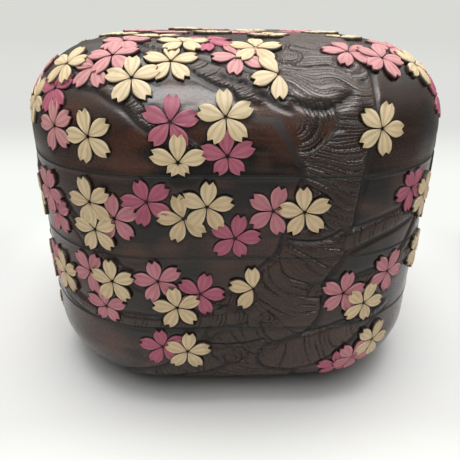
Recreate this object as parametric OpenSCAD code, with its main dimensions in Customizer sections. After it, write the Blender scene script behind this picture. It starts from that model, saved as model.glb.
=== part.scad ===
// Stacking lacquer box of three tiers and a lid, with raised cherry blossoms.
// Front is -Y and up is +Z. The origin is under the middle of the base, on the surface it stands on.
// "Around" is a place on the outline: 0 at the front's middle, 90 at the right side's middle.

/* [Overall size] */
// Width of the box across its flat sides
box_w = 180; // [150:1:240]
// Radius of the four upright corners, seen from above
corner_r = 60; // [46:1:70]
// Height of the base box
base_h = 42; // [38:1:80]
// Height of the middle box
middle_h = 33; // [24:1:80]
// Height of the upper box
upper_h = 33; // [24:1:80]
// Height of the lid
lid_h = 43; // [42:1:70]
// Radius of the round edge under the base
base_edge_r = 29; // [16:1:33]
// Radius of the round edge on top of the lid
lid_edge_r = 35; // [20:1:36]

/* [Walls and floors] */
// Thickness of every side wall
wall_t = 9; // [8:0.5:12]
// Thickness of the base's floor
base_floor_t = 9; // [6:0.5:12]
// Thickness of the lid's top
lid_top_t = 9; // [6:0.5:12]
// Thickness of the floor boards in the middle and upper boxes
floor_t = 4; // [3:0.5:6]

/* [Joints between the boxes] */
// Thickness of the lip rings
lip_t = 3.2; // [2.6:0.1:4]
// How far a lip ring stands above its rim
lip_rise = 5; // [3:0.5:7]
// How deep a lip ring is let into its wall
lip_seat = 7; // [5:0.5:8]
// Sliding gap round a lip ring, and above it
lip_gap = 0.3; // [0.2:0.1:0.6]
// Glue gap round lip rings and floor boards
glue_gap = 0.05; // [0.03:0.01:0.1]

/* [Blossoms] */
// Length of a petal, from the blossom's centre to its tips
petal_l = 10; // [7:0.5:12]
// Width of a petal
petal_w = 6.4; // [5:0.2:7]
// Depth of the notch in a petal's tip
petal_notch = 1.4; // [0.6:0.1:2]
// How far a blossom stands above the wall
petal_proud = 1; // [0.6:0.1:1.6]
// How much higher a blossom stands that lies over another one
petal_over = 0.4; // [0.2:0.1:0.8]
// How deep a blossom is let into the wall
petal_sunk = 1.2; // [0.8:0.1:2]
// Gap between a petal's foot and the blossom's centre
foot_gap = 0.7; // [0.5:0.1:1.5]
// Least distance between a petal and a rim
rim_gap = 0.5; // [0.3:0.1:2]

/* [Hidden] */
$fn = 96;

lacquer = "#33231f";
lacquer_inside = "#241a19";
cream = "#d9c193";
pink = "#b8737c";
rose = "#8e3f57";

// Heights of the rims between the pieces
middle_z = base_h;
upper_z = middle_z + middle_h;
lid_z = upper_z + upper_h;
box_h = lid_z + lid_h;
base_rims = [0, base_h];
middle_rims = [middle_z, upper_z];
upper_rims = [upper_z, lid_z];
lid_rims = [lid_z, 2 * box_h];

// The groove inside a lower rim, which slides over the lip ring below it
groove_inset = wall_t - lip_t - lip_gap;
groove_h = lip_rise + lip_gap;

// The outline: half a flat side, and the run from one side's middle to the next
side_half = box_w / 2 - corner_r;
side_run = 2 * side_half + corner_r * PI / 2;

// The lid's section: the straight part above its rim, and the whole run up to the flat top
lid_straight = lid_h - lid_edge_r;
lid_run = lid_straight + lid_edge_r * PI / 2;

// Blossoms: [around, share of the piece's height, angle of one petal, 1 if it lies over another,
// which petals it has if not all five]. On the lid, the share is of the run from rim to flat top.
base_cream = [
    [-12.4, 0.715, 84, 1], [36, 0.7, 65, 1], [-66, 0.7, 80], [-98, 0.65, 100, 1],
    [-142, 0.7, 70], [166, 0.66, 95, 1], [112, 0.7, 60, 1]
];
base_pink = [
    [30.5, 0.54, 60, 1], [-72, 0.6, 55], [-136, 0.62, 90], [172, 0.74, 50], [106.5, 0.6, 100]
];
base_rose = [[-18.6, 0.77, 97], [26.5, 0.45, 95], [-103.5, 0.75, 65], [138, 0.7, 80]];

middle_cream = [
    [-46.5, 0.5, 100, 1], [-29.7, 0.64, 94, 1], [-14.5, 0.325, 100, 1], [3.4, 0.59, 96, 1, [0, 1, 2]],
    [31, 0.29, 68, 1], [52, 0.72, 60, 1], [-62, 0.35, 75, 1], [-84, 0.64, 90, 1], [-134, 0.6, 100],
    [-161, 0.36, 80, 1], [175, 0.62, 65], [124, 0.62, 70, 1], [98, 0.4, 85, 1], [71, 0.34, 100, 1]
];
middle_pink = [
    [-52, 0.55, 60], [-36, 0.7, 60], [-18.7, 0.695, 103], [-32.5, 0.23, 95], [25, 0.49, 80],
    [37.6, 0.66, 60], [-67.5, 0.55, 50], [-90, 0.42, 65], [-155, 0.56, 60], [119, 0.38, 100],
    [92, 0.6, 55]
];
middle_rose = [[-9, 0.51, 72], [-78.5, 0.36, 80], [-128, 0.38, 70], [168, 0.4, 90], [65, 0.6, 65]];

upper_cream = [
    [-33.3, 0.65, 105, 1], [-32.7, 0.31, 100, 1], [-12.3, 0.515, 104, 0, [0, 1, 2, 3]],
    [-7.2, 0.664, 84, 1], [13.8, 0.6, 97, 1], [48.5, 0.56, 60, 1], [-59, 0.4, 70, 1], [-81, 0.6, 95, 1],
    [-106, 0.38, 75, 1], [-129, 0.62, 60], [-152, 0.4, 90, 1], [-174, 0.62, 100, 1], [136, 0.6, 65, 1],
    [110, 0.4, 95, 1], [84, 0.62, 80, 1]
];
upper_pink = [
    [-48, 0.63, 60, 1], [-46, 0.36, 100], [-27.6, 0.485, 95], [7, 0.61, 73], [-64.5, 0.58, 100],
    [-87, 0.4, 60], [-146, 0.6, 70], [179, 0.42, 60], [104.5, 0.6, 55], [78.5, 0.42, 70]
];
upper_rose = [
    [-20, 0.715, 110], [-1.1, 0.27, 77], [41.5, 0.74, 50], [-75.5, 0.36, 85], [130.5, 0.36, 80],
    [60, 0.34, 95]
];

lid_cream = [
    [-32, 0.21, 109], [-23, 0.55, 98, 1], [-14.5, 0.68, 90], [-13, 0.09, 89, 1], [-3.3, 0.335, 95, 1],
    [7.5, 0.583, 125, 1, [0, 1, 2]], [29.3, 0.268, 67], [50.5, 0.62, 54, 1], [-45.5, 0.61, 24, 1],
    [3.1, 0.81, 15, 1], [-12.4, 0.9, 17, 1], [-54.5, 0.35, 61], [-70, 0.3, 80, 1], [-86, 0.62, 60, 1],
    [-104, 0.28, 100, 1], [-126, 0.5, 75], [-150, 0.26, 90, 1], [-172, 0.56, 60, 1], [141, 0.5, 80, 1],
    [119, 0.24, 65, 1], [99, 0.55, 95], [77, 0.26, 70, 1]
];
lid_pink = [
    [-42, 0.237, 105], [-31, 0.713, 36, 1], [-34.5, 0.615, 23, 0, [2, 3, 4]], [-33, 0.9, 30, 1],
    [26.1, 0.79, 23], [36.1, 0.7, 60, 1], [50, 0.81, 20], [-0.5, 0.73, 41], [-64, 0.5, 50],
    [-91.5, 0.46, 95], [-144, 0.44, 70], [170, 0.4, 55], [125, 0.4, 80], [82.5, 0.42, 60]
];
lid_rose = [
    [-45, 0.45, 34], [-14.4, 0.308, 84], [-2.9, 0.125, 23], [-7, 0.93, 50], [-76, 0.46, 75],
    [-157, 0.44, 65], [57, 0.38, 70], [104.5, 0.38, 85]
];

// Blossoms on the lid's flat top: [share of the half width to the right, and to the back, angle, 1 if over]
top_cream = [
    [-0.12, 0.08, 20, 1], [-0.37, -0.42, 50, 1], [0.17, -0.16, 15, 1], [0.5, -0.32, 320, 1, [0, 1, 2]],
    [-0.6, -0.12, 35], [-0.3, 0.52, 60, 1], [0.12, 0.46, 30], [0.5, 0.16, 10, 1]
];
top_pink = [[-0.36, 0.12, 25], [0.04, 0.2, 65], [-0.12, 0.58, 45], [0.4, 0.5, 70], [-0.56, 0.3, 15]];
top_rose = [[-0.14, -0.48, 60], [0.36, 0.28, 40]];

// Point and outward normal on the outline
function outline(around) =
    let (side = round(around / 90),
         run = (around / 90 - side) * side_run,
         turn = abs(run) <= side_half ? 0 : sign(run) * (abs(run) - side_half) / corner_r * 180 / PI,
         centre = turn == 0 ? run : sign(run) * side_half,
         p = [centre + corner_r * sin(turn), -side_half - corner_r * cos(turn)],
         n = [sin(turn), -cos(turn)],
         c = cos(90 * side), s = sin(90 * side))
    [[c * p.x - s * p.y, s * p.x + c * p.y], [c * n.x - s * n.y, s * n.x + c * n.y]];

// Nearest point on the outer skin, and the outward normal there
function skin(p) =
    let (q = [abs(p.x) - side_half, abs(p.y) - side_half],
         in_corner = q.x > 0 && q.y > 0,
         d = (in_corner ? norm(q) : max(q.x, q.y)) - corner_r,
         n1 = in_corner ? q / norm(q) : q.x > q.y ? [1, 0] : [0, 1],
         n = [n1.x * (p.x < 0 ? -1 : 1), n1.y * (p.y < 0 ? -1 : 1)],
         lid_c = [-lid_edge_r, box_h - lid_edge_r],
         base_c = [-base_edge_r, base_edge_r],
         s = p.z > lid_c.y && d <= lid_c.x ? [[d, box_h], [0, 1]]
           : p.z > lid_c.y ? let (v = [d, p.z] - lid_c, m = v / norm(v)) [lid_c + lid_edge_r * m, m]
           : p.z < base_c.y ? let (v = [d, p.z] - base_c, m = v / norm(v)) [base_c + base_edge_r * m, m]
           : [[0, p.z], [1, 0]])
    [[p.x + (s[0].x - d) * n.x, p.y + (s[0].x - d) * n.y, s[0].y], [n.x * s[1].x, n.y * s[1].x, s[1].y]];

// Places for blossoms, each with its point, its normal and the way to its right
function side_place(around, z) =
    let (o = outline(around),
         low = base_edge_r - z,
         inset = low > 0 ? base_edge_r - sqrt(base_edge_r * base_edge_r - low * low) : 0)
    concat(skin([o[0].x - inset * o[1].x, o[0].y - inset * o[1].y, z]), [[-o[1].y, o[1].x, 0]]);
function lid_place(around, share) =
    let (o = outline(around),
         a = (share * lid_run - lid_straight) / lid_edge_r * 180 / PI,
         inset = a > 0 ? lid_edge_r * (1 - cos(a)) : 0,
         z = a > 0 ? box_h - lid_edge_r + lid_edge_r * sin(a) : lid_z + share * lid_run)
    concat(skin([o[0].x - inset * o[1].x, o[0].y - inset * o[1].y, z]), [[-o[1].y, o[1].x, 0]]);
function top_place(x, y) = concat(skin([x * box_w / 2, y * box_w / 2, box_h]), [[1, 0, 0]]);

// Axes and origin for a piece that lies on the skin, along x and square to n
function lay_on(p, n, x) =
    let (u = x - (x * n) * n, e = u / norm(u), w = cross(n, e))
    [[e.x, w.x, n.x, p.x], [e.y, w.y, n.y, p.y], [e.z, w.z, n.z, p.z], [0, 0, 0, 1]];

// Rounded square, drawn in from the outline
module plan(inset) {
    r = corner_r - inset;
    square([2 * side_half, 2 * side_half], center = true);
    for (a = [0 : 90 : 270]) rotate(a) {
        translate([side_half, -side_half]) square([r, 2 * side_half]);
        translate([side_half, side_half]) intersection() {
            circle(r);
            square(r);
        }
    }
}

// Half section of a block with one round edge at the bottom, out to the radius r
module edge_section(r, edge, h) {
    square([r - edge, h]);
    translate([r - edge, edge]) square([edge, h - edge]);
    translate([r - edge, edge]) intersection() {
        circle(edge);
        translate([0, -edge]) square(edge);
    }
}

// Block with the rounded plan, drawn in from the outline, and a round edge at the bottom
module block(inset, edge, h) {
    r = corner_r - inset;
    translate([-side_half, -side_half, 0]) cube([2 * side_half, 2 * side_half, h]);
    for (a = [0 : 90 : 270]) rotate(a) {
        translate([side_half, side_half, 0]) rotate_extrude(angle = 90) edge_section(r, edge, h);
        translate([side_half, side_half, 0]) rotate([90, 0, 0])
            linear_extrude(2 * side_half) edge_section(r, edge, h);
    }
}

// Upright ring between two insets
module ring(outer_inset, inner_inset, z, h) {
    translate([0, 0, z]) linear_extrude(h) difference() {
        plan(outer_inset);
        plan(inner_inset);
    }
}

// Lip ring that stands in the rim at height z
module lip_ring(z) {
    ring(wall_t - lip_t, wall_t, z - lip_seat, lip_seat + lip_rise);
}

// Seat for a lip ring, cut down from the rim at height z
module lip_seat_cut(z) {
    translate([0, 0, z - lip_seat]) linear_extrude(lip_seat + 1) plan(wall_t - lip_t - glue_gap);
}

// Wall of a box from z upwards, grooved below for the lip ring and the floor board
module tier_wall(z, h) {
    difference() {
        translate([0, 0, z]) linear_extrude(h) plan(0);
        translate([0, 0, z - 1]) linear_extrude(h + 2) plan(wall_t);
        translate([0, 0, z - 1]) linear_extrude(1 + groove_h + floor_t) plan(groove_inset);
        lip_seat_cut(z + h);
    }
}

module floor_board(z) {
    translate([0, 0, z + groove_h]) linear_extrude(floor_t) plan(groove_inset + glue_gap);
}

// Petal outline along x, from its foot to two tips with a notch between
module petal_outline(l, w) {
    polygon([
        [foot_gap, 0], [0.32 * l, -0.3 * w], [0.62 * l, -0.5 * w], [0.86 * l, -0.42 * w], [l, -0.2 * w],
        [l - petal_notch, 0],
        [l, 0.2 * w], [0.86 * l, 0.42 * w], [0.62 * l, 0.5 * w], [0.32 * l, 0.3 * w]
    ]);
}

// One petal at an angle on its place, shortened where a rim is near
module petal(place, angle, rims, over) {
    north = cross(place[1], place[2]);
    way = place[2] * cos(angle) + north * sin(angle);
    room = (way.z > 0 ? rims[1] - place[0].z : place[0].z - rims[0]) - rim_gap;
    need = petal_l * abs(way.z) + petal_w * 0.35 * sqrt(1 - way.z * way.z);
    l = petal_l * min(1, room / need);
    w = petal_w * (1 + l / petal_l) / 2;
    mid = skin(place[0] + way * l / 2);
    tip = skin(place[0] + way * l);
    multmatrix(lay_on(mid[0], mid[1], tip[0] - place[0]))
        translate([-l / 2, 0, over * petal_over - petal_sunk])
            linear_extrude(petal_sunk + petal_proud) petal_outline(l, w);
}

module blossom(place, b, rims) {
    over = len(b) > 3 ? b[3] : 0;
    for (i = len(b) > 4 ? b[4] : [0 : 4]) petal(place, b[2] + 72 * i, rims, over);
}

module side_blossoms(list, rims) {
    for (b = list) blossom(side_place(b[0], rims[0] + b[1] * (rims[1] - rims[0])), b, rims);
}

module lid_blossoms(sides, top) {
    for (b = sides) blossom(lid_place(b[0], b[1]), b, lid_rims);
    for (b = top) blossom(top_place(b[0], b[1]), b, lid_rims);
}

module base_bowl() {
    color(lacquer) difference() {
        block(0, base_edge_r, base_h);
        translate([0, 0, base_floor_t]) block(wall_t, base_edge_r - wall_t, base_h);
        lip_seat_cut(base_h);
    }
}

module base_lip_ring() {
    color(lacquer_inside) lip_ring(middle_z);
}

module middle_wall() {
    color(lacquer) tier_wall(middle_z, middle_h);
}

module middle_floor_board() {
    color(lacquer_inside) floor_board(middle_z);
}

module middle_lip_ring() {
    color(lacquer_inside) lip_ring(upper_z);
}

module upper_wall() {
    color(lacquer) tier_wall(upper_z, upper_h);
}

module upper_floor_board() {
    color(lacquer_inside) floor_board(upper_z);
}

module upper_lip_ring() {
    color(lacquer_inside) lip_ring(lid_z);
}

// Hollowed lid, modelled upside down and turned over
module lid_shell() {
    color(lacquer) translate([0, 0, box_h]) mirror([0, 0, 1]) difference() {
        block(0, lid_edge_r, lid_h);
        translate([0, 0, lid_top_t]) block(wall_t, lid_edge_r - wall_t, lid_h);
        translate([0, 0, lid_h - groove_h]) linear_extrude(groove_h + 1) plan(groove_inset);
    }
}

module base_blossoms_cream() {
    color(cream) side_blossoms(base_cream, base_rims);
}

module base_blossoms_pink() {
    color(pink) side_blossoms(base_pink, base_rims);
}

module base_blossoms_rose() {
    color(rose) side_blossoms(base_rose, base_rims);
}

module middle_blossoms_cream() {
    color(cream) side_blossoms(middle_cream, middle_rims);
}

module middle_blossoms_pink() {
    color(pink) side_blossoms(middle_pink, middle_rims);
}

module middle_blossoms_rose() {
    color(rose) side_blossoms(middle_rose, middle_rims);
}

module upper_blossoms_cream() {
    color(cream) side_blossoms(upper_cream, upper_rims);
}

module upper_blossoms_pink() {
    color(pink) side_blossoms(upper_pink, upper_rims);
}

module upper_blossoms_rose() {
    color(rose) side_blossoms(upper_rose, upper_rims);
}

module lid_blossoms_cream() {
    color(cream) lid_blossoms(lid_cream, top_cream);
}

module lid_blossoms_pink() {
    color(pink) lid_blossoms(lid_pink, top_pink);
}

module lid_blossoms_rose() {
    color(rose) lid_blossoms(lid_rose, top_rose);
}

base_bowl();
base_lip_ring();
base_blossoms_cream();
base_blossoms_pink();
base_blossoms_rose();
middle_wall();
middle_floor_board();
middle_lip_ring();
middle_blossoms_cream();
middle_blossoms_pink();
middle_blossoms_rose();
upper_wall();
upper_floor_board();
upper_lip_ring();
upper_blossoms_cream();
upper_blossoms_pink();
upper_blossoms_rose();
lid_shell();
lid_blossoms_cream();
lid_blossoms_pink();
lid_blossoms_rose();
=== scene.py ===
# Stacking lacquer box: carved shells with a cherry tree in relief, raised petals, camera and light
import math
import time

import bmesh
import bpy
import numpy as np
from mathutils import Matrix, Vector


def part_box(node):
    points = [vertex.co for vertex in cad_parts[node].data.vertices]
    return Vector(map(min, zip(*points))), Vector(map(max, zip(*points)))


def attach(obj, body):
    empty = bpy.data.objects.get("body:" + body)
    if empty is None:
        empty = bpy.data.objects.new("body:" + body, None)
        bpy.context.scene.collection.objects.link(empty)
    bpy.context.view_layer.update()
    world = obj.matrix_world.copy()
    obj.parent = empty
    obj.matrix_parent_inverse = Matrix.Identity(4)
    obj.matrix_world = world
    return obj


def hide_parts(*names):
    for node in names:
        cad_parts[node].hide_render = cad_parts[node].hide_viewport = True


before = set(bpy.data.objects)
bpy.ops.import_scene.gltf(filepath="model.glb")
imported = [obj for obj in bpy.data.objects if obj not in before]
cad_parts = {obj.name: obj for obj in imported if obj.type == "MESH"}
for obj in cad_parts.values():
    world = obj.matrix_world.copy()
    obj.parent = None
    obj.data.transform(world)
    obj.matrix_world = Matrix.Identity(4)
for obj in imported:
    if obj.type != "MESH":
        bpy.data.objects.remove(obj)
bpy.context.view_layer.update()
mm = 0.001
start = time.time()


def nodeBox(name):
    low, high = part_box(name)
    return np.array(low) / mm, np.array(high) / mm


# Sizes in mm. Heights and the width come from the frame, the rest are the same as in the part
shape = {
    "cornerR": 60, "baseEdgeR": 29, "lidEdgeR": 35,
    "wall": 9, "lip": 3.2, "lipRise": 5, "lipSeat": 7, "lipGap": 0.3, "glueGap": 0.05,
    "floor": 4, "baseFloor": 9, "lidTop": 9,
    "rimEase": 0.25,  # how far the rims are eased, which draws the seams
    "topSpacing": 1.3,  # between the rows of points on the flat top
}
halfWidth = nodeBox("middle_wall")[1][0]
middleZ = nodeBox("middle_wall")[0][2]
upperZ = nodeBox("upper_wall")[0][2]
lidZ = nodeBox("lid_shell")[0][2]
topZ = nodeBox("lid_shell")[1][2]
flat = halfWidth - shape["cornerR"]
sideRun = 2 * flat + shape["cornerR"] * math.pi / 2
lidStraight = topZ - lidZ - shape["lidEdgeR"]
lidRun = lidStraight + shape["lidEdgeR"] * math.pi / 2
grooveInset = shape["wall"] - shape["lip"] - shape["lipGap"]
grooveHeight = shape["lipRise"] + shape["lipGap"]
seatInset = shape["wall"] - shape["lip"] - shape["glueGap"]


# The plain outer skin: nearest point to each of p, and the outward normal there
def skin(p):
    p = np.atleast_2d(np.asarray(p, float))
    over = np.abs(p[:, :2]) - flat
    corner = (over > 0).all(axis=1)
    reach = np.where(corner, np.hypot(over[:, 0], over[:, 1]), over.max(axis=1))
    away = np.where((over[:, 0] > over[:, 1])[:, None], [1.0, 0.0], [0.0, 1.0])
    away = np.where(corner[:, None], over / np.maximum(reach, 1e-9)[:, None], away)
    away = away * np.where(p[:, :2] < 0, -1, 1)
    section = np.stack([reach - shape["cornerR"], p[:, 2]], axis=1)
    spot = np.stack([np.zeros(len(p)), p[:, 2]], axis=1)
    face = np.tile([1.0, 0.0], (len(p), 1))
    for edge, centreZ, upward in ((shape["lidEdgeR"], topZ - shape["lidEdgeR"], 1),
                                  (shape["baseEdgeR"], shape["baseEdgeR"], -1)):
        past = (p[:, 2] - centreZ) * upward > 0
        ray = section - [-edge, centreZ]
        ray /= np.maximum(np.linalg.norm(ray, axis=1), 1e-9)[:, None]
        onEdge = past & (section[:, 0] > -edge)
        onFlat = past & (section[:, 0] <= -edge)
        spot[onEdge] = (ray * edge + [-edge, centreZ])[onEdge]
        face[onEdge] = ray[onEdge]
        spot[onFlat] = np.stack([section[:, 0], np.full(len(p), centreZ + upward * edge)], axis=1)[onFlat]
        face[onFlat] = [0.0, upward]
    point = np.column_stack([p[:, :2] + away * (spot[:, 0] - section[:, 0])[:, None], spot[:, 1]])
    normal = np.column_stack([away * face[:, :1], face[:, 1]])
    return point, normal


# Point and outward normal on the outline: 0 at the front's middle, 90 at the right side's middle
def outline(around):
    side = round(around / 90)
    run = (around / 90 - side) * sideRun
    turn = 0 if abs(run) <= flat else math.copysign((abs(run) - flat) / shape["cornerR"], run)
    centre = run if turn == 0 else math.copysign(flat, run)
    point = Vector((centre + shape["cornerR"] * math.sin(turn), -flat - shape["cornerR"] * math.cos(turn)))
    normal = Vector((math.sin(turn), -math.cos(turn)))
    quarter = Matrix.Rotation(side * math.pi / 2, 2)
    return quarter @ point, quarter @ normal


# Places on the skin, each with its point, its normal and the way to its right
def place(around, inset, z):
    point, normal = outline(around)
    spot, face = skin([point.x - inset * normal.x, point.y - inset * normal.y, z])
    return spot[0], face[0], np.array([-normal.y, normal.x, 0.0])


def onSide(around, z):
    low = max(0, shape["baseEdgeR"] - z)
    return place(around, shape["baseEdgeR"] - math.sqrt(shape["baseEdgeR"] ** 2 - low ** 2), z)


def onLid(around, share):
    angle = max(0, share * lidRun - lidStraight) / shape["lidEdgeR"]
    rise = min(share * lidRun, lidStraight)
    z = lidZ + rise + shape["lidEdgeR"] * math.sin(angle)
    return place(around, shape["lidEdgeR"] * (1 - math.cos(angle)), z)


def onTop(x, y):
    spot, face = skin([x * halfWidth, y * halfWidth, topZ])
    return spot[0], face[0], np.array([1.0, 0.0, 0.0])


# Blossoms: around, share of the piece's height, angle of one petal, 1 if it lies over another, petals
blossoms = {
    "base": {
        "cream": [(-12.4, 0.715, 84, 1), (36, 0.7, 65, 1), (-66, 0.7, 80), (-98, 0.65, 100, 1),
                  (-142, 0.7, 70), (166, 0.66, 95, 1), (112, 0.7, 60, 1)],
        "pink": [(30.5, 0.54, 60, 1), (-72, 0.6, 55), (-136, 0.62, 90), (172, 0.74, 50), (106.5, 0.6, 100)],
        "rose": [(-18.6, 0.77, 97), (26.5, 0.45, 95), (-103.5, 0.75, 65), (138, 0.7, 80)],
    },
    "middle": {
        "cream": [(-46.5, 0.5, 100, 1), (-29.7, 0.64, 94, 1), (-14.5, 0.325, 100, 1),
                  (3.4, 0.59, 96, 1, (0, 1, 2)), (31, 0.29, 68, 1), (52, 0.72, 60, 1), (-62, 0.35, 75, 1),
                  (-84, 0.64, 90, 1), (-134, 0.6, 100), (-161, 0.36, 80, 1), (175, 0.62, 65),
                  (124, 0.62, 70, 1), (98, 0.4, 85, 1), (71, 0.34, 100, 1)],
        "pink": [(-52, 0.55, 60), (-36, 0.7, 60), (-18.7, 0.695, 103), (-32.5, 0.23, 95), (25, 0.49, 80),
                 (37.6, 0.66, 60), (-67.5, 0.55, 50), (-90, 0.42, 65), (-155, 0.56, 60), (119, 0.38, 100),
                 (92, 0.6, 55)],
        "rose": [(-9, 0.51, 72), (-78.5, 0.36, 80), (-128, 0.38, 70), (168, 0.4, 90), (65, 0.6, 65)],
    },
    "upper": {
        "cream": [(-33.3, 0.65, 105, 1), (-32.7, 0.31, 100, 1), (-12.3, 0.515, 104, 0, (0, 1, 2, 3)),
                  (-7.2, 0.664, 84, 1), (13.8, 0.6, 97, 1), (48.5, 0.56, 60, 1), (-59, 0.4, 70, 1),
                  (-81, 0.6, 95, 1), (-106, 0.38, 75, 1), (-129, 0.62, 60), (-152, 0.4, 90, 1),
                  (-174, 0.62, 100, 1), (136, 0.6, 65, 1), (110, 0.4, 95, 1), (84, 0.62, 80, 1)],
        "pink": [(-48, 0.63, 60, 1), (-46, 0.36, 100), (-27.6, 0.485, 95), (7, 0.61, 73), (-64.5, 0.58, 100),
                 (-87, 0.4, 60), (-146, 0.6, 70), (179, 0.42, 60), (104.5, 0.6, 55), (78.5, 0.42, 70)],
        "rose": [(-20, 0.715, 110), (-1.1, 0.27, 77), (41.5, 0.74, 50), (-75.5, 0.36, 85),
                 (130.5, 0.36, 80), (60, 0.34, 95)],
    },
    "lid": {
        "cream": [(-32, 0.21, 109), (-23, 0.55, 98, 1), (-14.5, 0.68, 90), (-13, 0.09, 89, 1),
                  (-3.3, 0.335, 95, 1), (7.5, 0.583, 125, 1, (0, 1, 2)), (29.3, 0.268, 67),
                  (50.5, 0.62, 54, 1), (-45.5, 0.61, 24, 1), (3.1, 0.81, 15, 1), (-12.4, 0.9, 17, 1),
                  (-54.5, 0.35, 61), (-70, 0.3, 80, 1), (-86, 0.62, 60, 1), (-104, 0.28, 100, 1),
                  (-126, 0.5, 75), (-150, 0.26, 90, 1), (-172, 0.56, 60, 1), (141, 0.5, 80, 1),
                  (119, 0.24, 65, 1), (99, 0.55, 95), (77, 0.26, 70, 1)],
        "pink": [(-42, 0.237, 105), (-31, 0.713, 36, 1), (-34.5, 0.615, 23, 0, (2, 3, 4)),
                 (-33, 0.9, 30, 1), (26.1, 0.79, 23), (36.1, 0.7, 60, 1), (50, 0.81, 20), (-0.5, 0.73, 41),
                 (-64, 0.5, 50), (-91.5, 0.46, 95), (-144, 0.44, 70), (170, 0.4, 55), (125, 0.4, 80),
                 (82.5, 0.42, 60)],
        "rose": [(-45, 0.45, 34), (-14.4, 0.308, 84), (-2.9, 0.125, 23), (-7, 0.93, 50), (-76, 0.46, 75),
                 (-157, 0.44, 65), (57, 0.38, 70), (104.5, 0.38, 85)],
    },
}
# Blossoms on the flat top: shares of the half width to the right and to the back, angle, over, petals
topBlossoms = {
    "cream": [(-0.12, 0.08, 20, 1), (-0.37, -0.42, 50, 1), (0.17, -0.16, 15, 1),
              (0.5, -0.32, 320, 1, (0, 1, 2)), (-0.6, -0.12, 35), (-0.3, 0.52, 60, 1), (0.12, 0.46, 30),
              (0.5, 0.16, 10, 1)],
    "pink": [(-0.36, 0.12, 25), (0.04, 0.2, 65), (-0.12, 0.58, 45), (0.4, 0.5, 70), (-0.56, 0.3, 15)],
    "rose": [(-0.14, -0.48, 60), (0.36, 0.28, 40)],
}
petal = {
    "length": 10, "width": 6.4, "notch": 1.4, "over": 0.45, "sunk": 1.2, "footGap": 0.7,
    "rimGap": 0.5,
    "bevel": 0.3,
    "top": 0.62,  # of the lower petals; the upper ones stand "over" higher
    "rankRise": 0.06,  # pink petals lie over rose ones by this much, and cream ones over pink ones
    "slim": 0.93,  # share of the full width
    "well": 0.35, "wellWidth": 0.55,  # the ground cut away round each petal
}
pieces = {
    "base": {"body": "base", "node": "base_bowl", "low": 0, "high": middleZ, "spacing": 0.78},
    "middle": {"body": "middle_tier", "node": "middle_wall", "low": middleZ, "high": upperZ, "spacing": 0.7},
    "upper": {"body": "upper_tier", "node": "upper_wall", "low": upperZ, "high": lidZ, "spacing": 0.7},
    "lid": {"body": "lid", "node": "lid_shell", "low": lidZ, "high": 2 * topZ, "spacing": 0.84},
}


# Every petal of a piece in one colour: its foot, the way it points, its length, width and height
def petalsOf(name, colour):
    low, high = pieces[name]["low"], pieces[name]["high"]
    spots = []
    for entry in blossoms[name][colour]:
        where = onLid(entry[0], entry[1]) if name == "lid" else onSide(entry[0], low + entry[1] * (high - low))
        spots.append((where, entry))
    if name == "lid":
        spots += [(onTop(entry[0], entry[1]), entry) for entry in topBlossoms[colour]]
    found = []
    for (foot, normal, right), entry in spots:
        up = np.cross(normal, right)
        over = entry[3] if len(entry) > 3 else 0
        for index in (entry[4] if len(entry) > 4 else range(5)):
            angle = math.radians(entry[2] + 72 * index)
            way = right * math.cos(angle) + up * math.sin(angle)
            room = (high - foot[2] if way[2] > 0 else foot[2] - low) - petal["rimGap"]
            need = petal["length"] * abs(way[2]) + petal["width"] * 0.35 * math.sqrt(1 - way[2] ** 2)
            fit = min(1, room / need)
            found.append({"foot": foot, "way": way, "side": np.cross(normal, way), "over": over,
                          "length": petal["length"] * fit, "width": petal["width"] * (1 + fit) / 2,
                          "step": len(found) // 5 % 3, "rank": ("rose", "pink", "cream").index(colour)})
    return found


# Half width of a petal, as a share, at a share of its length
def petalFullness(share):
    return np.sin(np.clip(share, 0, 1) * math.radians(138)) ** 1.25


# Where a petal ends, as a length back from its tips: a notch in the middle, shoulders at the sides
def petalEnd(side):
    away = np.abs(side)
    return petal["notch"] * np.clip(1 - away / 0.5, 0, 1) + 1.9 * np.clip((away - 0.5) / 0.5, 0, 1) ** 0.9


# Soft uneven waves over the surface, the same on every run
def waves(p, size, seed):
    chance = np.random.default_rng(seed)
    total = np.zeros(len(p))
    for _ in range(6):
        direction = chance.normal(size=3)
        direction *= chance.uniform(0.6, 1.7) / np.linalg.norm(direction)
        total += np.sin(p @ direction * 2 * math.pi / size + chance.uniform(0, 6.28))
    return total / 3


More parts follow.
